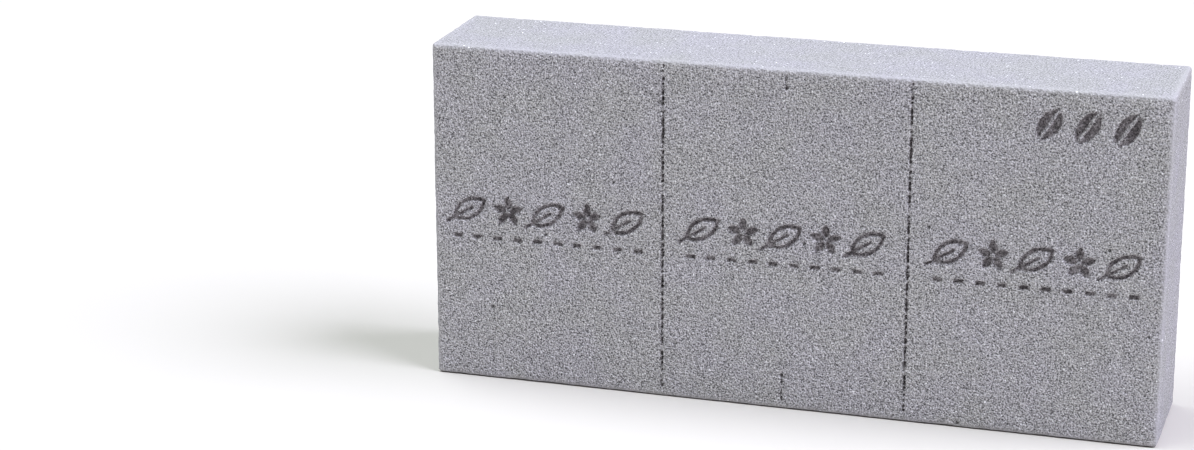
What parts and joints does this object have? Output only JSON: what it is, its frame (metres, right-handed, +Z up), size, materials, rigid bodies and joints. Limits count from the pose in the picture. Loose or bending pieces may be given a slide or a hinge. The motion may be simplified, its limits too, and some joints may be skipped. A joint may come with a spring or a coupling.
{
  "type": "floral foam brick",
  "caption": "Rectangular block of rigid dry floral foam, scored on one broad face for cutting, that holds the stems of dried and artificial flowers.",
  "frame": {"origin": "middle of the long narrow face that the brick stands on", "axes": "+X along the brick's length, +Z up, the scored and stamped broad face towards -Y"},
  "size_m": [0.23, 0.04, 0.109],
  "materials": {
    "foam": "matte"
  },
  "bodies": {
    "root": {"left_third": "foam", "middle_third": "foam", "right_third": "foam"}
  },
  "joints": []
}
